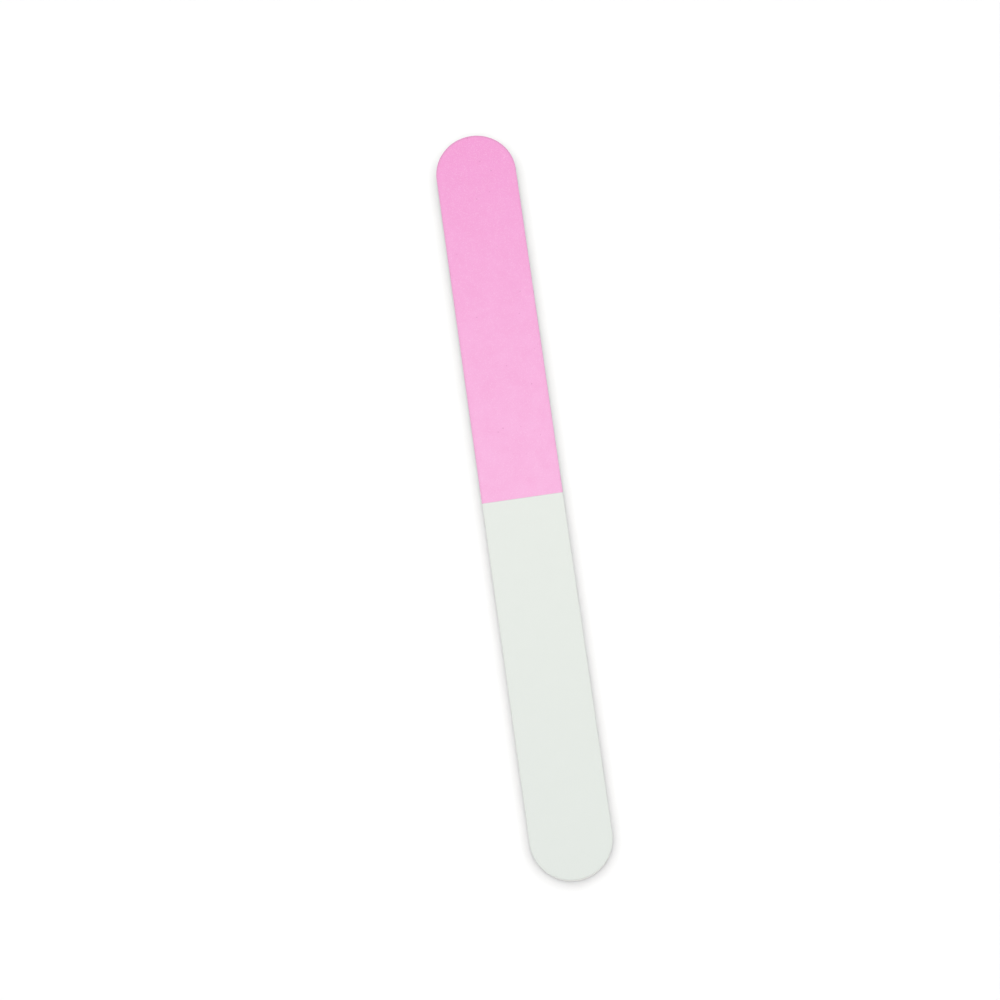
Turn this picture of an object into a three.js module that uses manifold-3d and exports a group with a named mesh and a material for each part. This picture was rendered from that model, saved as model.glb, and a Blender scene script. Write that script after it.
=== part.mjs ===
// Nail buffer board: a bonded laminate with round ends, die-cut from stacked sheets.
// Millimetres, +Z up. The board lies on its back face, with the origin in the middle of that face.
// +Y runs along the board towards the pink end.

import * as THREE from 'three';
import { mergeVertices } from 'three/addons/utils/BufferGeometryUtils.js';
import Module from 'manifold-3d';

// Outline of the board, a straight strip with a half circle at each end.
const LENGTH = 178;
const WIDTH = 19;

// The front face is split across the board: the pink sheet's length, and the hairline at the seam.
const PINK_LENGTH = 89;
const SEAM_GAP = 0.1;

// Thickness of each layer, from the back face up.
const GREY_SHEET = 0.4;
const BACK_FOAM = 1.4;
const CORE = 0.8;
const FRONT_FOAM = 1.4;
const PINK_SHEET = 0.3;
const WHITE_SHEET = 0.3;

// Adhesive films: between a foam and the core, and between a foam and its face sheet.
const CORE_FILM = 0.1;
const SHEET_FILM = 0.1;

// The cutting die presses the rim of both faces towards the core, and the foam wall draws in.
const ROLL_WIDTH = 0.8;
const ROLL_DROP = 0.15;
const FOAM_DRAW_IN = 0.2;

// How finely the curves are divided.
const ARC_STEPS = 32;
const ROLL_STEPS = 4;
const WALL_STEPS = 6;

// Which way the rim of a face bends: the front face down, the back face up.
const FRONT = -1;
const BACK = 1;

const wasm = await Module();
wasm.setup();

// The board's outline moved inwards by an inset, anticlockwise from above.
function outline(inset) {
  const radius = WIDTH / 2 - inset;
  const endCentre = (LENGTH - WIDTH) / 2;
  const shape = new THREE.Shape();
  shape.absarc(0, endCentre, radius, 0, Math.PI);
  shape.absarc(0, -endCentre, radius, Math.PI, 2 * Math.PI);
  // An arc gets two points for each division.
  return shape.getPoints(ARC_STEPS / 2);
}

// A closed solid through rings of the outline. The profile lists each ring's inset and height,
// from the lower face out to the rim, up the wall and in over the upper face.
function loft(profile) {
  const rings = profile.map(([inset, height]) =>
    outline(inset).map((point) => [point.x, point.y, height]),
  );
  const count = rings[0].length;
  const index = [];
  for (let ring = 0; ring + 1 < rings.length; ring += 1) {
    for (let i = 0; i < count; i += 1) {
      const low = ring * count + i;
      const lowNext = ring * count + ((i + 1) % count);
      index.push(low, lowNext, lowNext + count);
      index.push(low, lowNext + count, low + count);
    }
  }
  const lastRing = (rings.length - 1) * count;
  const capShape = outline(profile[0][0]);
  for (const [a, b, c] of THREE.ShapeUtils.triangulateShape(capShape, [])) {
    index.push(c, b, a);
    index.push(lastRing + a, lastRing + b, lastRing + c);
  }
  const geometry = new THREE.BufferGeometry();
  geometry.setAttribute('position', new THREE.Float32BufferAttribute(rings.flat(2), 3));
  geometry.setIndex(index);
  return geometry;
}

// A face that is flat inside and bends along a parabola towards its rim, from the inside out.
function rolledFace(height, bend) {
  return Array.from({ length: ROLL_STEPS + 1 }, (_, step) => {
    const outward = step / ROLL_STEPS;
    return [ROLL_WIDTH * (1 - outward), height + bend * ROLL_DROP * outward ** 2];
  });
}

// The foam's cut wall between two rims, hollow by the draw-in at half height.
function drawnInWall(low, high) {
  return Array.from({ length: WALL_STEPS - 1 }, (_, step) => {
    const rise = (step + 1) / WALL_STEPS;
    return [FOAM_DRAW_IN * 4 * rise * (1 - rise), low + (high - low) * rise];
  });
}

// A layer with two flat faces and a square wall.
function flatLayer(thickness) {
  return loft([[0, 0], [0, thickness]]);
}

// A layer of even thickness whose rim follows the rolled edge.
function rolledLayer(thickness, bend) {
  return loft([...rolledFace(0, bend), ...rolledFace(thickness, bend).reverse()]);
}

// A foam layer: flat on the core's side, rolled on the face's side, with a drawn-in wall.
function foamLayer(thickness, bend) {
  const squeezed = thickness - ROLL_DROP;
  if (bend === FRONT) {
    const face = rolledFace(thickness, FRONT).reverse();
    return loft([[0, 0], ...drawnInWall(0, squeezed), ...face]);
  }
  const wall = drawnInWall(ROLL_DROP, thickness);
  return loft([...rolledFace(0, BACK), ...wall, [0, thickness]]);
}

// A solid for cutting, from a closed mesh.
function solidOf(geometry) {
  const bare = geometry.clone();
  bare.deleteAttribute('normal');
  bare.deleteAttribute('uv');
  const merged = mergeVertices(bare);
  return new wasm.Manifold(new wasm.Mesh({
    numProp: 3,
    vertProperties: new Float32Array(merged.attributes.position.array),
    triVerts: new Uint32Array(merged.index.array),
  }));
}

// The stretch of a layer between two stations along the board.
function stretch(layer, thickness, from, to) {
  const reach = ROLL_DROP + thickness;
  const block = new THREE.BoxGeometry(2 * WIDTH, to - from, 2 * reach);
  block.translate(0, (from + to) / 2, 0);
  const mesh = solidOf(layer).intersect(solidOf(block)).getMesh();
  const geometry = new THREE.BufferGeometry();
  geometry.setAttribute('position', new THREE.Float32BufferAttribute(mesh.vertProperties, 3));
  geometry.setIndex(Array.from(mesh.triVerts));
  return geometry;
}

const SEAM_Y = LENGTH / 2 - PINK_LENGTH;

// The rolled front layers are cut across at the seam, each half past its round end.
function pinkHalf(thickness) {
  return stretch(rolledLayer(thickness, FRONT), thickness, SEAM_Y + SEAM_GAP / 2, LENGTH);
}

function whiteHalf(thickness) {
  return stretch(rolledLayer(thickness, FRONT), thickness, -LENGTH, SEAM_Y - SEAM_GAP / 2);
}

// Colour and roughness of each finish.
const FINISHES = {
  pinkGrit: { color: 0xf8aedc, roughness: 0.85 },
  whiteGrit: { color: 0xe8ece6, roughness: 0.6 },
  greyShine: { color: 0x9b9ca1, roughness: 0.45 },
  foam: { color: 0xf3f2ee, roughness: 0.9 },
  corePlastic: { color: 0xf7f6f1, roughness: 0.35 },
  adhesive: { color: 0xe9e2c9, roughness: 0.5 },
};

function piece(name, geometry, finish) {
  const material = new THREE.MeshStandardMaterial({ ...FINISHES[finish], metalness: 0 });
  const mesh = new THREE.Mesh(geometry, material);
  mesh.name = name;
  return mesh;
}

const board = new THREE.Group();
board.name = 'nail_buffer';
let height = 0;

// Lays pieces side by side on what is already stacked, and raises the stack by their thickness.
function lay(thickness, ...pieces) {
  for (const mesh of pieces) {
    mesh.position.z = height;
    board.add(mesh);
  }
  height += thickness;
}

// Back face up to the core.
lay(GREY_SHEET, piece('grey_shine_sheet', rolledLayer(GREY_SHEET, BACK), 'greyShine'));
lay(SHEET_FILM, piece('grey_sheet_adhesive', rolledLayer(SHEET_FILM, BACK), 'adhesive'));
lay(BACK_FOAM, piece('back_foam', foamLayer(BACK_FOAM, BACK), 'foam'));
lay(CORE_FILM, piece('back_core_adhesive', flatLayer(CORE_FILM), 'adhesive'));
lay(CORE, piece('core_strip', flatLayer(CORE), 'corePlastic'));

// Core up to the split front face.
lay(CORE_FILM, piece('front_core_adhesive', flatLayer(CORE_FILM), 'adhesive'));
lay(FRONT_FOAM, piece('front_foam', foamLayer(FRONT_FOAM, FRONT), 'foam'));
lay(
  SHEET_FILM,
  piece('pink_sheet_adhesive', pinkHalf(SHEET_FILM), 'adhesive'),
  piece('white_sheet_adhesive', whiteHalf(SHEET_FILM), 'adhesive'),
);
lay(
  Math.max(PINK_SHEET, WHITE_SHEET),
  piece('pink_abrasive_sheet', pinkHalf(PINK_SHEET), 'pinkGrit'),
  piece('white_polishing_sheet', whiteHalf(WHITE_SHEET), 'whiteGrit'),
);

export default board;
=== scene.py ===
"""Nail buffer board: a cushioned laminate with round ends, lying on a plain pale floor.

Metres, +Z up. +Y runs along the board towards the pink end. Every layer is a loft round the board's rim,
from the middle of its lower face out to the cut wall and back in to the middle of its upper face.
"""

import math
from collections import namedtuple

import bmesh
import bpy
import numpy as np
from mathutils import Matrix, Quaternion, Vector


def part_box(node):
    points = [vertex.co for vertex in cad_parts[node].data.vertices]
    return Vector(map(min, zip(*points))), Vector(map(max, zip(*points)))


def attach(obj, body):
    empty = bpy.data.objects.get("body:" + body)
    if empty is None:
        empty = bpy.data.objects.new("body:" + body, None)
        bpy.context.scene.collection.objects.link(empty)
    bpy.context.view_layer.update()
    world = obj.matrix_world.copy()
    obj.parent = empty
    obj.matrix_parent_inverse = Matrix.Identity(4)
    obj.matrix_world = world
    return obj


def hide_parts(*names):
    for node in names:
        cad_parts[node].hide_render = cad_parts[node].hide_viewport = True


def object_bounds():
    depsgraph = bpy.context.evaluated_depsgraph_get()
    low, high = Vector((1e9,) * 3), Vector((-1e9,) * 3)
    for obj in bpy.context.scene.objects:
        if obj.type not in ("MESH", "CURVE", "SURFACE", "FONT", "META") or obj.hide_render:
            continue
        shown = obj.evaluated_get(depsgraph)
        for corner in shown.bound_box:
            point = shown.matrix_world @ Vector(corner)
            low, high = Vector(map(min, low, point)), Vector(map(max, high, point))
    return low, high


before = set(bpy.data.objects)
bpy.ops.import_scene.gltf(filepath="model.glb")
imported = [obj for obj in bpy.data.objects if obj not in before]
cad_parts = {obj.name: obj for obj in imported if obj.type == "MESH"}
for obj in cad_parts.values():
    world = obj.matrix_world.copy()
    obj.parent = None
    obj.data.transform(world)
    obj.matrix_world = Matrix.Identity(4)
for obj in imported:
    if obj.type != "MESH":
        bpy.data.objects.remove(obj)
cad_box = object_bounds()

MM = 0.001

# The outline comes from the solids: a straight strip with a half circle at each end.
LENGTH = cad_box[1].y - cad_box[0].y
WIDTH = cad_box[1].x - cad_box[0].x
RADIUS = WIDTH / 2
END_CENTRE = LENGTH / 2 - RADIUS

# The cutting die rolls the rim of both faces towards the core, and the foam wall draws in.
ROLL_WIDTH = 0.8 * MM
ROLL_DROP = 0.15 * MM
FOAM_DRAW_IN = 0.2 * MM

# What stays open at the seam between the pink and the white sheet.
SEAM_HAIRLINE = 0.02 * MM

# Spacing of the stations round the rim.
SHEET_STEP = 0.16 * MM
FOAM_STEP = 0.1 * MM
CORE_STEP = 0.2 * MM

# A stretch of the outline, as stations with the way in from each and the distance along to it.
Rim = namedtuple("Rim", "points inward along closed")

# A layer's rings at every station, with a material slot and a part's name for each strip between rings.
Section = namedtuple("Section", "inset height slots parts")


def half_rim(cut, step):
    """The +Y half of the outline: from a cut across the board, round the end and back to the cut."""
    side = np.linspace(cut, END_CENTRE, math.ceil((END_CENTRE - cut) / step), endpoint=False)
    turn = np.linspace(0, math.pi, math.ceil(math.pi * RADIUS / step) + 1)
    outward = np.column_stack((np.cos(turn), np.sin(turn)))
    right = np.column_stack((np.full_like(side, RADIUS), side))
    left = right[::-1] * (-1, 1)
    points = np.vstack((right, RADIUS * outward + (0, END_CENTRE), left))
    inward = np.vstack((np.full_like(right, (-1, 0)), -outward, np.full_like(left, (1, 0))))
    return Rim(points, inward, distance_along(points), False)


def full_rim(step):
    """The whole outline, closed, anticlockwise from above."""
    half = half_rim(0, step)
    points = np.vstack((half.points[:-1], -half.points[:-1]))
    inward = np.vstack((half.inward[:-1], -half.inward[:-1]))
    return Rim(points, inward, distance_along(points), True)


def turned(rim):
    """The same stretch of rim at the other end of the board."""
    return rim._replace(points=-rim.points, inward=-rim.inward)


def distance_along(points):
    steps = np.linalg.norm(np.diff(points, axis=0), axis=1)
    return np.concatenate(([0], np.cumsum(steps)))


def roll(inset):
    """How far a face has bent towards the core at an inset from the rim."""
    return ROLL_DROP * np.clip(1 - inset / ROLL_WIDTH, 0, 1) ** 2


# How a texture map is shared out: each part's band of V, and how many strips the part is cut into.
Chart = namedtuple("Chart", "low high strips")
FRONT_CHARTS = {
    "upper": Chart(0.00, 0.86, strips=2),
    "wall": Chart(0.86, 0.96, strips=4),
    "under": Chart(0.96, 0.98, strips=1),
    "cut": Chart(0.98, 1.00, strips=1),
}
BACK_CHARTS = {
    "under": Chart(0.00, 0.87, strips=3),
    "wall": Chart(0.87, 0.97, strips=8),
    "upper": Chart(0.97, 1.00, strips=1),
}
EDGE_CHARTS = {
    "wall": Chart(0.00, 0.94, strips=16),
    "under": Chart(0.94, 0.97, strips=1),
    "upper": Chart(0.97, 1.00, strips=1),
}

# The space round each strip, as a share of the map, and the map's name.
CHART_GAP = 0.004
MAP_NAME = "OFBake"

# How many stations on from a quad's first corner each of its corners lies.
CORNER_STATIONS = np.array((0, 1, 1, 0))


def share_between(values, low, high):
    return (values - low) / (high - low)


def seen_from_above(rim, spots):
    """How far along and across the rim's stretch of the board each spot lies, as shares."""
    y = rim.points[:, 1]
    along = share_between(spots[:, :, 1], y.min(), y.max())
    across = share_between(spots[:, :, 0], -RADIUS, RADIUS)
    return along, across


def unrolled(section, quads, strips):
    """How far round and up the wall each corner lies, as shares, with whole stations in every strip."""
    rings = section.inset.shape[1]
    station = quads[:, :1] // rings + CORNER_STATIONS
    stations = strips * math.ceil(station.max() / strips)
    profile = np.median(np.dstack((section.inset, section.height)), axis=0)
    climb = distance_along(profile)
    wall = np.flatnonzero(np.array(section.parts) == "wall")
    across = share_between(climb[quads % rings], climb[wall[0]], climb[wall[-1] + 1])
    return station / stations, across


def in_chart(chart, strip, along, across):
    """Places in a texture map, from the number of a chart's strip and the shares along and across it."""
    tall = (chart.high - chart.low) / chart.strips
    u = CHART_GAP / 2 + (1 - CHART_GAP) * along
    v = chart.low + tall * strip + CHART_GAP / 2 + (tall - CHART_GAP) * across
    return np.stack((u, v), axis=-1)


def quad_corners(rim, section, points, quads, charts):
    """Texture places of every quad's corners, with each face and wall cut into its chart's strips."""
    rings = section.inset.shape[1]
    part = np.array(section.parts)[quads[:, 0] % rings]
    corners = np.empty((*quads.shape, 2))
    for name, chart in charts.items():
        mine = part == name
        if name == "wall":
            along, across = unrolled(section, quads[mine], chart.strips)
        else:
            along, across = seen_from_above(rim, points[quads[mine]])
        strip = np.floor(chart.strips * along.mean(axis=1, keepdims=True))
        corners[mine] = in_chart(chart, strip, chart.strips * along - strip, across)
    return corners


def end_corners(spots, chart):
    """Texture places of the corners of the two faces that close a stretch of rim."""
    x = spots[:, :, 0]
    z = spots[:, :, 2]
    return in_chart(chart, 0, share_between(x, -RADIUS, RADIUS), share_between(z, z.min(), z.max()))


def put(name, data):
    """A new object in the scene."""
    thing = bpy.data.objects.new(name, data)
    bpy.context.scene.collection.objects.link(thing)
    return thing


def loft(name, rim, section, charts, materials):
    """A closed mesh of stations round the rim by rings. A rim that doesn't close gets two end faces."""
    stations, rings = section.inset.shape
    flat = rim.points[:, None, :] + section.inset[:, :, None] * rim.inward[:, None, :]
    points = np.dstack((flat, section.height)).reshape(-1, 3)
    steps = stations if rim.closed else stations - 1
    here = np.arange(steps)[:, None] * rings + np.arange(rings - 1)
    there = (np.arange(1, steps + 1)[:, None] % stations) * rings + np.arange(rings - 1)
    quads = np.stack((here, there, there + 1, here + 1), axis=-1).reshape(-1, 4)
    faces = quads.tolist()
    slots = section.slots * steps
    corners = quad_corners(rim, section, points, quads, charts).reshape(-1, 2)
    if not rim.closed:
        first = np.arange(rings)
        ends = np.array((first, first[::-1] + (stations - 1) * rings))
        faces += ends.tolist()
        slots += [max(section.slots)] * len(ends)
        corners = np.vstack((corners, end_corners(points[ends], charts["cut"]).reshape(-1, 2)))
    mesh = bpy.data.meshes.new(name)
    mesh.from_pydata(points.tolist(), [], faces)
    mesh.polygons.foreach_set("material_index", slots)
    mesh.uv_layers.new(name=MAP_NAME).data.foreach_set("uv", corners.ravel())
    for material in materials:
        mesh.materials.append(material)
    weld_and_shade(mesh)
    return put(name, mesh)


# How near two points are when they become one, and how steep an edge stays sharp.
MERGE_DISTANCE = 0.0001 * MM
SHARP_ANGLE = math.radians(40)


def weld_and_shade(mesh):
    """Welds the two sides along the middle of each face, and shades all but the sharp edges smooth."""
    work = bmesh.new()
    work.from_mesh(mesh)
    bmesh.ops.remove_doubles(work, verts=work.verts, dist=MERGE_DISTANCE)
    work.to_mesh(mesh)
    work.free()
    mesh.shade_smooth()
    mesh.set_sharp_from_angle(angle=SHARP_ANGLE)


# The parts of a noise's range that make soft clouds and scattered grains.
CLOUD_LOW = 0.35
CLOUD_HIGH = 0.65
PEAK_LOW = 0.52
PEAK_HIGH = 0.78


class Finish:
    """A material's node tree, with the few kinds of node that the finishes share."""

    def __init__(self, name, specular):
        self.material = bpy.data.materials.new(name)
        self.material.use_nodes = True
        self.nodes = self.material.node_tree.nodes
        self.links = self.material.node_tree.links
        self.shader = self.nodes["Principled BSDF"]
        self.feed(specular, self.shader.inputs["Specular IOR Level"])
        self.place = self.nodes.new("ShaderNodeTexCoord").outputs["Object"]

    def feed(self, value, socket):
        """Gives a socket another node's output, or a number or colour of its own."""
        if isinstance(value, bpy.types.NodeSocket):
            self.links.new(value, socket)
        elif socket.type == "RGBA":
            socket.default_value = (*value, 1)
        else:
            socket.default_value = value

    def stretched(self, stretch):
        """The place, drawn out along each axis by a factor."""
        node = self.nodes.new("ShaderNodeMapping")
        self.feed(self.place, node.inputs["Vector"])
        self.feed([1 / factor for factor in stretch], node.inputs["Scale"])
        return node.outputs["Vector"]

    def noise(self, size, detail=3.0, stretch=None):
        """Random relief between 0 and 1, in patches about that many metres across."""
        node = self.nodes.new("ShaderNodeTexNoise")
        self.feed(self.stretched(stretch) if stretch else self.place, node.inputs["Vector"])
        self.feed(1 / size, node.inputs["Scale"])
        self.feed(detail, node.inputs["Detail"])
        return node.outputs["Fac"]

    def cells(self, size):
        """Distance from the middle of each random cell, in cell sizes."""
        node = self.nodes.new("ShaderNodeTexVoronoi")
        self.feed(self.place, node.inputs["Vector"])
        self.feed(1 / size, node.inputs["Scale"])
        return node.outputs["Distance"]

    def axis(self, letter):
        node = self.nodes.new("ShaderNodeSeparateXYZ")
        self.feed(self.place, node.inputs["Vector"])
        return node.outputs[letter]

    def calculate(self, operation, *values):
        """Arithmetic on fixed numbers and other nodes' outputs."""
        node = self.nodes.new("ShaderNodeMath")
        node.operation = operation
        for value, socket in zip(values, node.inputs):
            self.feed(value, socket)
        return node.outputs["Value"]

    def from_rim(self):
        """How far a point lies in from the board's outline."""
        x = self.axis("X")
        past_end = self.calculate("SUBTRACT", self.calculate("ABSOLUTE", self.axis("Y")), END_CENTRE)
        past_end = self.calculate("MAXIMUM", past_end, 0.0)
        x_squared = self.calculate("MULTIPLY", x, x)
        squares = self.calculate("MULTIPLY_ADD", past_end, past_end, x_squared)
        return self.calculate("SUBTRACT", RADIUS, self.calculate("SQRT", squares))

    def spread(self, value, low, high, to_low=0.0, to_high=1.0):
        """The value's range from low to high, laid out over another range and held at its ends."""
        node = self.nodes.new("ShaderNodeMapRange")
        self.feed(value, node.inputs["Value"])
        self.feed(low, node.inputs["From Min"])
        self.feed(high, node.inputs["From Max"])
        self.feed(to_low, node.inputs["To Min"])
        self.feed(to_high, node.inputs["To Max"])
        return node.outputs["Result"]

    def clouds(self, noise, to_low=0.0, to_high=1.0):
        """The middle of a noise's range, laid out over another range."""
        return self.spread(noise, CLOUD_LOW, CLOUD_HIGH, to_low, to_high)

    def peaks(self, noise, amount):
        """The tops of a noise, as scattered grains."""
        return self.spread(noise, PEAK_LOW, PEAK_HIGH, to_high=amount)

    def specks(self, spacing, radius, amount):
        """Soft round specks, one in each random cell, with their radius in cell sizes."""
        return self.spread(self.cells(spacing), radius, radius / 2, to_high=amount)

    def painted_rim_shade(self, width, amount):
        """Painted shade along the outline, where the face rolls down: a border that grows stronger
        outwards.
        """
        return self.spread(self.from_rim(), width, 0.0, to_high=amount)

    def mix(self, factor, first, second):
        """Between two colours. Each is a fixed colour or another node's output."""
        node = self.nodes.new("ShaderNodeMix")
        node.data_type = "RGBA"
        self.feed(factor, node.inputs["Factor"])
        colours = (socket for socket in node.inputs if socket.type == "RGBA")
        for value, socket in zip((first, second), colours):
            self.feed(value, socket)
        return next(socket for socket in node.outputs if socket.type == "RGBA")

    def colour(self, output):
        self.feed(output, self.shader.inputs["Base Color"])

    def roughness(self, value):
        self.feed(value, self.shader.inputs["Roughness"])

    def bump(self, height, depth, strength):
        """Relief too fine to model, as deep as depth where the height goes from 0 to 1."""
        node = self.nodes.new("ShaderNodeBump")
        self.feed(height, node.inputs["Height"])
        self.feed(depth, node.inputs["Distance"])
        self.feed(strength, node.inputs["Strength"])
        self.feed(node.outputs["Normal"], self.shader.inputs["Normal"])


# The pink is paler by the seam and deeper towards the round end: partly painted light falloff, partly a
# real deepening of the pink.
PINK_LIT_AT_SEAM = (0.834, 0.417, 0.664)
PINK_SHADED_AT_END = (0.798, 0.305, 0.592)
PINK_CLOUD = (0.770, 0.290, 0.540)
# Painted shade along the rim, where the face rolls down.
PINK_RIM_SHADE = (0.640, 0.250, 0.460)
PINK_GRIT = (0.900, 0.580, 0.770)
PINK_PIT = (0.600, 0.220, 0.420)
PINK_GRIT_SIZE = 0.2 * MM
PINK_LUMP_SIZE = 0.45 * MM
PINK_CLOUD_SIZE = 3.2 * MM
PINK_PIT_SPACING = 2.8 * MM
# The painted rim shade: its width, its strength along the sides and at the round end, and where it changes
# over.
PINK_RIM = 0.6 * MM
PINK_RIM_AT_SIDES = 0.25
PINK_RIM_AT_END = 0.87
PINK_RIM_CHANGE = RADIUS / 2
PINK_RELIEF = 0.03 * MM
PINK_SHADING_POWER = 1.5


def pink_coat():
    """Fine grit in a pink binder, a little pitted: deeper towards the round end, partly through painted
    light falloff, and with painted shade on its rim.
    """
    finish = Finish("pink_coat", specular=0.25)
    grit = finish.noise(PINK_GRIT_SIZE)
    pits = finish.specks(PINK_PIT_SPACING, radius=0.075, amount=0.6)
    # Partly painted light falloff: the pink deepens towards the round end.
    to_end = finish.spread(finish.axis("Y"), 0, LENGTH / 2)
    ground = finish.mix(finish.calculate("POWER", to_end, PINK_SHADING_POWER), PINK_LIT_AT_SEAM, PINK_SHADED_AT_END)
    cloud = finish.clouds(finish.noise(PINK_CLOUD_SIZE, detail=4), to_high=0.2)
    ground = finish.mix(cloud, ground, PINK_CLOUD)
    # Painted shade along the rim, stronger at the round end.
    rim_shade_amount = finish.spread(
        finish.axis("Y"), END_CENTRE, END_CENTRE + PINK_RIM_CHANGE, PINK_RIM_AT_SIDES, PINK_RIM_AT_END
    )
    ground = finish.mix(finish.painted_rim_shade(PINK_RIM, rim_shade_amount), ground, PINK_RIM_SHADE)
    ground = finish.mix(finish.peaks(grit, amount=0.6), ground, PINK_GRIT)
    finish.colour(finish.mix(pits, ground, PINK_PIT))
    finish.roughness(finish.clouds(grit, to_low=0.72, to_high=0.92))
    lumps = finish.noise(PINK_LUMP_SIZE, detail=2)
    relief = finish.calculate("SUBTRACT", finish.calculate("ADD", grit, lumps), pits)
    finish.bump(relief, PINK_RELIEF, strength=0.8)
    return finish.material


# Painted light: the white is lighter by the seam and shaded towards the end.
WHITE_LIT_AT_SEAM = (0.690, 0.722, 0.680)
WHITE_SHADED_AT_END = (0.659, 0.694, 0.659)
WHITE_CLOUD = (0.610, 0.655, 0.610)
# Painted shade along the rim, where the face rolls down.
WHITE_RIM_SHADE = (0.600, 0.630, 0.600)
WHITE_GRIT = (0.800, 0.820, 0.790)
WHITE_GRIT_SIZE = 0.08 * MM
WHITE_CLOUD_SIZE = 5.0 * MM
WHITE_RIM = 0.45 * MM
WHITE_RELIEF = 0.012 * MM


def white_coat():
    """Very fine grit in a satin off-white binder, with painted light falling off towards the end and
    painted shade on its rim.
    """
    finish = Finish("white_coat", specular=0.35)
    grit = finish.noise(WHITE_GRIT_SIZE)
    # Painted light falloff, darker towards the end.
    falloff_to_seam = finish.spread(finish.axis("Y"), -LENGTH / 2, 0)
    ground = finish.mix(falloff_to_seam, WHITE_SHADED_AT_END, WHITE_LIT_AT_SEAM)
    ground = finish.mix(finish.clouds(finish.noise(WHITE_CLOUD_SIZE), to_high=0.05), ground, WHITE_CLOUD)
    # Painted shade along the rim.
    ground = finish.mix(finish.painted_rim_shade(WHITE_RIM, amount=0.3), ground, WHITE_RIM_SHADE)
    finish.colour(finish.mix(finish.peaks(grit, amount=0.2), ground, WHITE_GRIT))
    finish.roughness(finish.clouds(grit, to_low=0.52, to_high=0.68))
    finish.bump(grit, WHITE_RELIEF, strength=0.6)
    return finish.material


GREY_DEEP = (0.312, 0.317, 0.340)
GREY_PALE = (0.332, 0.337, 0.359)
# Painted shade along the rim, where the face rolls down.
GREY_RIM_SHADE = (0.255, 0.260, 0.280)
GREY_GRAIN = (0.375, 0.380, 0.400)
GREY_MOTE = (0.420, 0.425, 0.440)
GREY_GRAIN_SIZE = 0.1 * MM
GREY_DIMPLE_SIZE = 0.6 * MM
GREY_HAZE_SIZE = 7.0 * MM
GREY_HAZE_STRETCH = (1, 2, 1)
GREY_MOTE_SPACING = 1.4 * MM
GREY_RIM = 0.45 * MM
GREY_RELIEF = 0.01 * MM


def grey_film():
    """Smooth soft film with a low sheen, a little hazy, with fine motes and painted shade along its rim."""
    finish = Finish("grey_film", specular=0.45)
    haze = finish.noise(GREY_HAZE_SIZE, detail=4, stretch=GREY_HAZE_STRETCH)
    grain = finish.noise(GREY_GRAIN_SIZE)
    ground = finish.mix(finish.clouds(haze), GREY_DEEP, GREY_PALE)
    # Painted shade along the rim.
    ground = finish.mix(finish.painted_rim_shade(GREY_RIM, amount=0.35), ground, GREY_RIM_SHADE)
    ground = finish.mix(finish.peaks(grain, amount=0.3), ground, GREY_GRAIN)
    motes = finish.specks(GREY_MOTE_SPACING, radius=0.07, amount=0.4)
    finish.colour(finish.mix(motes, ground, GREY_MOTE))
    finish.roughness(finish.clouds(haze, to_low=0.38, to_high=0.48))
    dimples = finish.noise(GREY_DIMPLE_SIZE, detail=2)
    finish.bump(finish.calculate("ADD", grain, dimples), GREY_RELIEF, strength=0.5)
    return finish.material


PAPER_DEEP = (0.720, 0.690, 0.630)
PAPER_PALE = (0.860, 0.840, 0.790)
FILM_DEEP = (0.740, 0.750, 0.730)
FILM_PALE = (0.840, 0.850, 0.830)
FELT_DEEP = (0.360, 0.360, 0.380)
FELT_PALE = (0.500, 0.500, 0.520)
FIBRE_SIZE = 0.05 * MM
FIBRE_STRETCH = (6, 6, 1)
FIBRE_RELIEF = 0.02 * MM


def backing_edge(name, deep, pale):
    """The cut edge of a sheet's backing, with fibres that run along it."""
    finish = Finish(name, specular=0.2)
    fibre = finish.noise(FIBRE_SIZE, detail=4, stretch=FIBRE_STRETCH)
    finish.colour(finish.mix(finish.clouds(fibre), deep, pale))
    finish.roughness(finish.clouds(fibre, to_low=0.75, to_high=0.95))
    finish.bump(fibre, FIBRE_RELIEF, strength=0.7)
    return finish.material


# Painted shade: the open cells' hollows are darker than the pale cell walls.
FOAM_SHADED_CELL = (0.770, 0.760, 0.730)
FOAM_CELL_WALL = (0.900, 0.895, 0.870)
FOAM_CLOUD = (0.700, 0.680, 0.630)
FOAM_CELL_SIZE = 0.22 * MM
FOAM_CELL_RIM = (0.15, 0.6)
FOAM_CLOUD_SIZE = 4.0 * MM
FOAM_RELIEF = 0.05 * MM


def foam_cut():
    """Closed-cell foam cut through: pale cell walls round open cells darkened with painted shade."""
    finish = Finish("foam_cut", specular=0.2)
    cell = finish.cells(FOAM_CELL_SIZE)
    ground = finish.mix(finish.spread(cell, *FOAM_CELL_RIM), FOAM_SHADED_CELL, FOAM_CELL_WALL)
    cloud = finish.clouds(finish.noise(FOAM_CLOUD_SIZE), to_high=0.12)
    finish.colour(finish.mix(cloud, ground, FOAM_CLOUD))
    finish.roughness(finish.spread(cell, *FOAM_CELL_RIM, to_low=0.95, to_high=0.82))
    finish.bump(cell, FOAM_RELIEF, strength=0.7)
    return finish.material


CORE_DEEP = (0.860, 0.855, 0.830)
CORE_BLOOM = (0.920, 0.915, 0.900)
CORE_DRAG = (0.740, 0.735, 0.710)
CORE_DRAG_SIZE = 0.07 * MM
CORE_DRAG_STRETCH = (1, 1, 9)
CORE_BLOOM_SIZE = 1.8 * MM
CORE_RELIEF = 0.015 * MM


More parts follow.
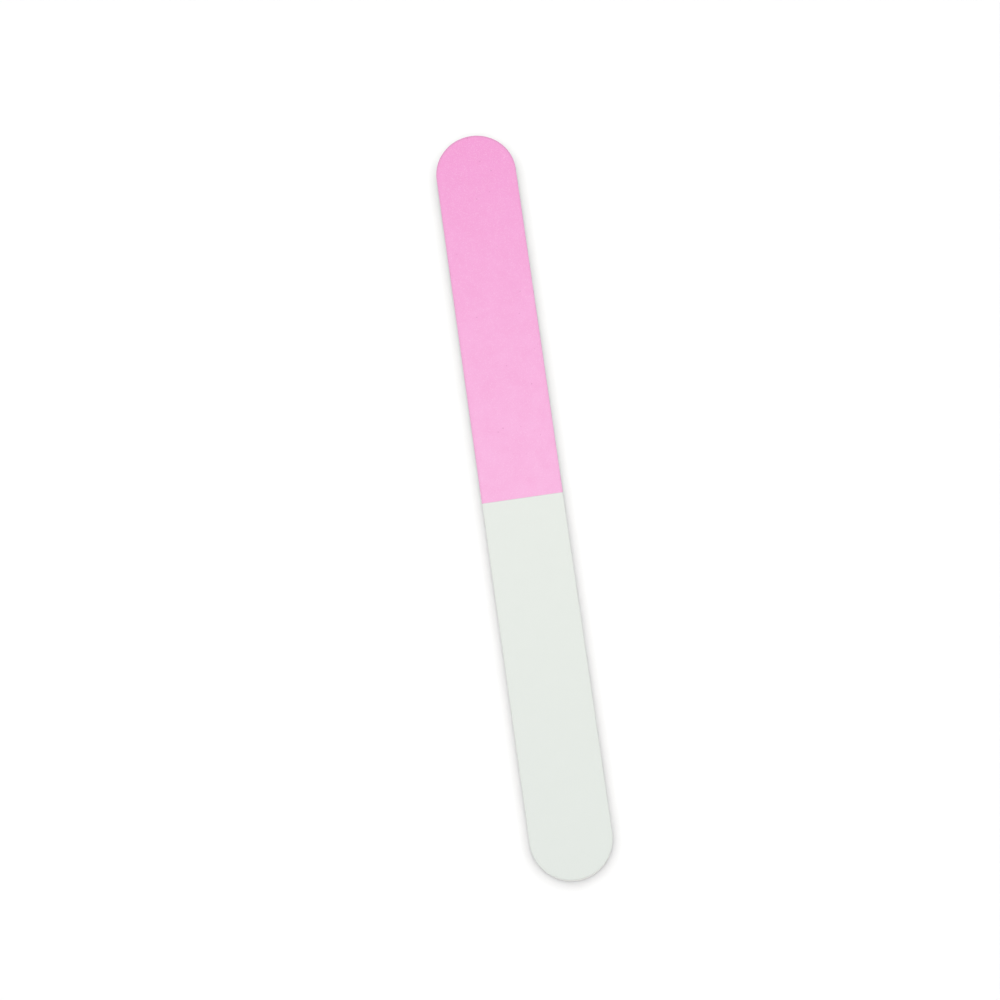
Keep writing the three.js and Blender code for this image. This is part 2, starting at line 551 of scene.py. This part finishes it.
def core_edge():
    """White polystyrene, sheared by the die: fine drag lines down the wall and a little bloom."""
    finish = Finish("core_edge", specular=0.5)
    drag = finish.noise(CORE_DRAG_SIZE, stretch=CORE_DRAG_STRETCH)
    ground = finish.mix(finish.clouds(finish.noise(CORE_BLOOM_SIZE)), CORE_DEEP, CORE_BLOOM)
    finish.colour(finish.mix(finish.peaks(drag, amount=0.3), ground, CORE_DRAG))
    finish.roughness(finish.clouds(drag, to_low=0.32, to_high=0.6))
    finish.bump(drag, CORE_RELIEF, strength=0.6)
    return finish.material


ADHESIVE_DEEP = (0.800, 0.745, 0.570)
ADHESIVE_PALE = (0.860, 0.830, 0.700)
ADHESIVE_DUST = (0.620, 0.580, 0.470)
ADHESIVE_SMEAR_SIZE = 0.6 * MM
ADHESIVE_SMEAR_STRETCH = (3, 3, 1)
ADHESIVE_DUST_SPACING = 0.5 * MM
ADHESIVE_RELIEF = 0.02 * MM


def adhesive_edge():
    """Clear to straw-coloured acrylic film, with dust held along its edge."""
    finish = Finish("adhesive_edge", specular=0.5)
    smear = finish.noise(ADHESIVE_SMEAR_SIZE, detail=4, stretch=ADHESIVE_SMEAR_STRETCH)
    ground = finish.mix(finish.clouds(smear), ADHESIVE_DEEP, ADHESIVE_PALE)
    dust = finish.specks(ADHESIVE_DUST_SPACING, radius=0.2, amount=0.5)
    finish.colour(finish.mix(dust, ground, ADHESIVE_DUST))
    finish.roughness(finish.clouds(smear, to_low=0.32, to_high=0.62))
    finish.bump(smear, ADHESIVE_RELIEF, strength=0.5)
    return finish.material


FLOOR_DEEP = (0.880, 0.880, 0.880)
FLOOR_PALE = (0.890, 0.890, 0.890)
FLOOR_CLOUD_SIZE = 400 * MM


def pale_floor():
    finish = Finish("pale_floor", specular=0.1)
    cloud = finish.noise(FLOOR_CLOUD_SIZE)
    finish.colour(finish.mix(finish.clouds(cloud), FLOOR_DEEP, FLOOR_PALE))
    finish.roughness(0.9)
    return finish.material


def same_for_all(values, stations):
    """One row of values, repeated at every station."""
    return np.tile(np.asarray(values, float), (stations, 1))


def upside_down(section, middle):
    """The same layer on the other side of the core, mirrored about a height."""
    other_side = {"under": "upper", "upper": "under", "wall": "wall"}
    return Section(
        section.inset[:, ::-1],
        2 * middle - section.height[:, ::-1],
        section.slots[::-1],
        [other_side[part] for part in section.parts[::-1]],
    )


# Material slots of a face sheet.
COAT_SLOT = 0
BACKING_SLOT = 1

# The coat's thickness, and the rounding of its cut corner.
COAT = 0.09 * MM
CORNER = 0.05 * MM
CORNER_BEVEL = CORNER * (1 - math.cos(math.pi / 4))

# Chips along the corner: the deepest one, how rare deep ones are, and their share on the corner's rings.
CHIP = 0.06 * MM
CHIP_RARITY = 6
CHIP_SHARES = np.array((0.4, 1, 1))

# Waves that the foam leaves in a face: their height, their usual length, how many, and how lengths vary.
FACE_WAVE = 0.012 * MM
FACE_WAVELENGTH = 11 * MM
WAVE_COUNT = 18
WAVE_RANGE = (0.6, 1.6)

# Rings across a face sheet: on its underside's roll, its face's roll from an inset, and the flat inside.
UNDER_RINGS = 4
ROLL_RINGS = 6
ROLL_START = 0.18 * ROLL_WIDTH
FLAT_RINGS = 8


def ripple(x, y, seed):
    """Gentle random relief between -1 and 1: plane waves in many directions, near one wavelength."""
    rng = np.random.default_rng(seed)
    total = np.zeros_like(x)
    for _ in range(WAVE_COUNT):
        heading = rng.uniform(0, 2 * math.pi)
        reach = FACE_WAVELENGTH * rng.uniform(*WAVE_RANGE)
        phase = rng.uniform(0, 2 * math.pi)
        total += np.cos(2 * math.pi * (x * math.cos(heading) + y * math.sin(heading)) / reach + phase)
    return np.clip(total / math.sqrt(2 * WAVE_COUNT), -1, 1)


def face_sheet(rim, low, high, seed):
    """A coated sheet's rings: hidden underside, cut edge, chipped corner and waved face."""
    under = np.append(RADIUS, np.linspace(ROLL_WIDTH, 0, UNDER_RINGS))
    edge = np.array((0, 0, CORNER_BEVEL, CORNER))
    edge_drop = np.array((COAT, CORNER, CORNER_BEVEL, 0))
    rolled = np.linspace(ROLL_START, ROLL_WIDTH, ROLL_RINGS)
    flat = np.linspace(ROLL_WIDTH, RADIUS, FLAT_RINGS + 1)[1:]
    upper = np.concatenate((rolled, flat))
    stations = len(rim.points)
    inset = same_for_all(np.concatenate((under, edge, upper)), stations)
    under_height = low - roll(under)
    edge_height = high - roll(edge) - edge_drop
    upper_height = high - roll(upper)
    height = same_for_all(np.concatenate((under_height, edge_height, upper_height)), stations)
    chips = CHIP * np.random.default_rng(seed).random(stations) ** CHIP_RARITY
    first_upper = len(under) + len(edge)
    inset[:, first_upper - len(CHIP_SHARES):first_upper] += chips[:, None] * CHIP_SHARES
    spot = rim.points[:, None, :] + inset[:, first_upper:, None] * rim.inward[:, None, :]
    height[:, first_upper:] -= FACE_WAVE * (1 + ripple(spot[:, :, 0], spot[:, :, 1], seed)) / 2
    slots = [BACKING_SLOT] * len(under) + [COAT_SLOT] * (len(edge) + len(upper) - 1)
    parts = ["under"] * (len(under) - 1) + ["wall"] * len(edge) + ["upper"] * len(upper)
    return Section(inset, height, slots, parts)


# Rings up a foam's wall and across its roll.
FOAM_ROWS = 15
FOAM_ROLL_RINGS = 3


def foam_layer(rim, low, high, seed):
    """A foam's rings: flat underside, a drawn-in wall of cut cells, and a face rolled at its rim."""
    rise = np.linspace(0, 1, FOAM_ROWS)
    bow = 1 - (2 * rise - 1) ** 2
    wall_height = high - ROLL_DROP - low
    rolled = np.linspace(0, ROLL_WIDTH, FOAM_ROLL_RINGS + 1)[1:]
    stations = len(rim.points)
    inset = same_for_all((RADIUS, *(FOAM_DRAW_IN * bow), *rolled, RADIUS), stations)
    height = same_for_all((low, *(low + wall_height * rise), *(high - roll(rolled)), high), stations)
    inset[:, 1:FOAM_ROWS + 1] += cut_cells(rim.along, wall_height * rise, seed)
    slots = [0] * (FOAM_ROWS + FOAM_ROLL_RINGS + 1)
    parts = ["under"] + ["wall"] * (FOAM_ROWS - 1) + ["upper"] * (FOAM_ROLL_RINGS + 1)
    return Section(inset, height, slots, parts)


# Cells that the cut opened in the foam's wall: how many, how wide, and their depth as a share of that.
CELLS_PER_MM2 = 3.0
SMALLEST_CELL = 0.07 * MM
LARGEST_CELL = 0.24 * MM
CELL_DEPTH = 0.7

# Roughness of the wall between the cells, and the border of the wall that no cell reaches.
WALL_GRAIN = 0.012 * MM
WALL_BORDER = 0.06


def cut_cells(along, rise, seed):
    """How deep each point of a foam wall lies in an open cell."""
    rng = np.random.default_rng(seed)
    reach, tall = along[-1], rise[-1]
    depth = WALL_GRAIN * rng.random((len(along), len(rise)))
    for _ in range(int(CELLS_PER_MM2 * reach * tall / MM ** 2)):
        radius = SMALLEST_CELL + (LARGEST_CELL - SMALLEST_CELL) * rng.random() ** 2
        middle = rng.uniform(0, reach)
        level = rng.uniform(0, tall)
        near = slice(*np.searchsorted(along, (middle - radius, middle + radius)))
        apart = ((along[near, None] - middle) ** 2 + (rise - level) ** 2) / radius ** 2
        bowl = CELL_DEPTH * radius * np.clip(1 - apart, 0, 1)
        depth[near] = np.maximum(depth[near], bowl)
    border = np.minimum(rise, tall - rise) / (WALL_BORDER * tall)
    return depth * np.clip(border, 0, 1)


# Rings up the core's wall, and its worn corners: how deep, and the share of the wall that each takes up.
CORE_ROWS = 11
CORE_CORNER = 0.03 * MM
CORNER_SHARE = 0.1

# The smooth land that the die leaves low on the core's wall: its height, and how that wanders.
LAND = 0.5
LAND_RANGE = (0.35, 0.7)
LAND_WANDER = 0.006

# The break above the land: its depth, and the share of the wall over which it starts and ends.
BREAK_LEAST = 0.02 * MM
BREAK_MOST = 0.05 * MM
BREAK_RAMP = 0.1


def core_layer(rim, low, high, seed):
    """The core's rings: square faces, a smooth sheared land and a rougher break above it."""
    rng = np.random.default_rng(seed)
    rise = np.linspace(0, 1, CORE_ROWS)
    stations = len(rim.points)
    corner = CORE_CORNER * np.clip(1 - np.minimum(rise, 1 - rise) / CORNER_SHARE, 0, 1)
    inset = same_for_all((RADIUS, *corner, RADIUS), stations)
    height = same_for_all((low, *(low + (high - low) * rise), high), stations)
    wander = np.cumsum(rng.normal(0, LAND_WANDER, stations))
    wander -= np.linspace(wander[0], wander[-1], stations)
    land = np.clip(LAND + wander, *LAND_RANGE)[:, None]
    broken = np.clip((rise - land) / BREAK_RAMP, 0, 1) * np.clip((1 - rise) / BREAK_RAMP, 0, 1)
    inset[:, 1:-1] += broken * rng.uniform(BREAK_LEAST, BREAK_MOST, (stations, CORE_ROWS))
    slots = [0] * (CORE_ROWS + 1)
    parts = ["under"] + ["wall"] * (CORE_ROWS - 1) + ["upper"]
    return Section(inset, height, slots, parts)


def rides(piece, node):
    """Puts a piece on the board's one body, in place of a solid."""
    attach(piece, "root")
    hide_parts(node)


def front_sheet(node, rim, materials, seed):
    """One half of the front face, coated side up."""
    low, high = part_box(node)
    section = face_sheet(rim, low.z + ROLL_DROP, high.z, seed)
    rides(loft(node + "_cut", rim, section, FRONT_CHARTS, materials), node)


def back_sheet(node, materials, seed):
    """The sheet that covers the whole back, coated side down."""
    low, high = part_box(node)
    rim = full_rim(SHEET_STEP)
    section = upside_down(face_sheet(rim, low.z + ROLL_DROP, high.z, seed), (low.z + high.z) / 2)
    rides(loft(node + "_cut", rim, section, BACK_CHARTS, materials), node)


def foam(node, material, faces_up, seed):
    """A cushion layer, whose rolled face looks away from the core."""
    low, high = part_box(node)
    rim = full_rim(FOAM_STEP)
    section = foam_layer(rim, low.z, high.z, seed)
    if not faces_up:
        section = upside_down(section, (low.z + high.z) / 2)
    piece = loft(node + "_cut", rim, section, EDGE_CHARTS, [material])
    rides(piece, node)


def core(node, material, seed):
    low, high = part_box(node)
    rim = full_rim(CORE_STEP)
    section = core_layer(rim, low.z, high.z, seed)
    rides(loft(node + "_cut", rim, section, EDGE_CHARTS, [material]), node)


def films(material):
    """The adhesive films keep their solids, with a finish of their own."""
    for name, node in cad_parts.items():
        if name.endswith("_adhesive"):
            node.data.materials.clear()
            node.data.materials.append(material)


def board():
    paper = backing_edge("paper_edge", PAPER_DEEP, PAPER_PALE)
    film = backing_edge("film_edge", FILM_DEEP, FILM_PALE)
    felt = backing_edge("felt_edge", FELT_DEEP, FELT_PALE)
    half = half_rim(SEAM_HAIRLINE / 2, SHEET_STEP)
    front_sheet("pink_abrasive_sheet", half, [pink_coat(), paper], seed=11)
    front_sheet("white_polishing_sheet", turned(half), [white_coat(), film], seed=12)
    back_sheet("grey_shine_sheet", [grey_film(), felt], seed=13)
    cut_foam = foam_cut()
    foam("front_foam", cut_foam, faces_up=True, seed=21)
    foam("back_foam", cut_foam, faces_up=False, seed=22)
    core("core_strip", core_edge(), seed=31)
    films(adhesive_edge())


# The floor lies just under the board, and sweeps up all round, out of the way.
FLOOR_RADIUS = 1.2
SWEEP_RADIUS = 3.0
SWEEP_STEPS = 16
FLOOR_SIDES = 96
FLOOR_CLEARANCE = 0.02 * MM


def floor():
    level = cad_box[0].z - FLOOR_CLEARANCE
    turn = np.linspace(0, 2 * math.pi, FLOOR_SIDES, endpoint=False)
    lift = np.linspace(0, math.pi / 2, SWEEP_STEPS + 1)
    reach = FLOOR_RADIUS + SWEEP_RADIUS * np.sin(lift)
    rise = level + SWEEP_RADIUS * (1 - np.cos(lift))
    points = [
        (ring_reach * math.cos(angle), ring_reach * math.sin(angle), ring_rise)
        for ring_reach, ring_rise in zip(reach, rise)
        for angle in turn
    ]
    here = np.arange(SWEEP_STEPS)[:, None] * FLOOR_SIDES + np.arange(FLOOR_SIDES)
    there = np.roll(here, -1, axis=1)
    quads = np.stack((there, here, here + FLOOR_SIDES, there + FLOOR_SIDES), axis=-1).reshape(-1, 4)
    mesh = bpy.data.meshes.new("floor")
    mesh.from_pydata(points, [], [list(range(FLOOR_SIDES)), *quads.tolist()])
    mesh.shade_smooth()
    mesh.materials.append(pale_floor())
    put("floor", mesh)


# A large soft box overhead, and an even fill from all round.
SOFT_BOX_SIZE = 3.0
SOFT_BOX_HEIGHT = 2.0
SOFT_BOX_POWER = 62.0
FILL = 0.2


def lights():
    lamp = bpy.data.lights.new("soft_box", "AREA")
    lamp.shape = "SQUARE"
    lamp.size = SOFT_BOX_SIZE
    lamp.energy = SOFT_BOX_POWER
    put("soft_box", lamp).location = (0, 0, SOFT_BOX_HEIGHT)
    world = bpy.data.worlds.new("fill")
    world.use_nodes = True
    background = world.node_tree.nodes["Background"]
    background.inputs["Color"].default_value = (1, 1, 1, 1)
    background.inputs["Strength"].default_value = FILL
    bpy.context.scene.world = world


# The photograph's view: almost square on to the front face, from a little towards the white end.
CAMERA_AIM = Vector((-5.215, 0.257, 4.7)) * MM
CAMERA_DISTANCE = 650.8 * MM
CAMERA_AZIMUTH = math.radians(2.956)
CAMERA_ELEVATION = math.radians(78.637)
CAMERA_ROLL = math.radians(-11.04)
CAMERA_LENS = 100.8
CAMERA_SENSOR = 36.0
CAMERA_NEAR = 10 * MM


def camera():
    data = bpy.data.cameras.new("camera")
    data.sensor_width = CAMERA_SENSOR
    data.lens = CAMERA_LENS
    data.clip_start = CAMERA_NEAR
    level = math.cos(CAMERA_ELEVATION)
    back = Vector((
        math.sin(CAMERA_AZIMUTH) * level,
        -math.cos(CAMERA_AZIMUTH) * level,
        math.sin(CAMERA_ELEVATION),
    ))
    eye = put("camera", data)
    eye.location = CAMERA_AIM + back * CAMERA_DISTANCE
    eye.rotation_mode = "QUATERNION"
    eye.rotation_quaternion = back.to_track_quat("Z", "Y") @ Quaternion((0, 0, 1), CAMERA_ROLL)
    bpy.context.scene.camera = eye


# Colours as they are, with no film look over them.
bpy.context.scene.view_settings.view_transform = "Standard"

camera()
board()
floor()
lights()
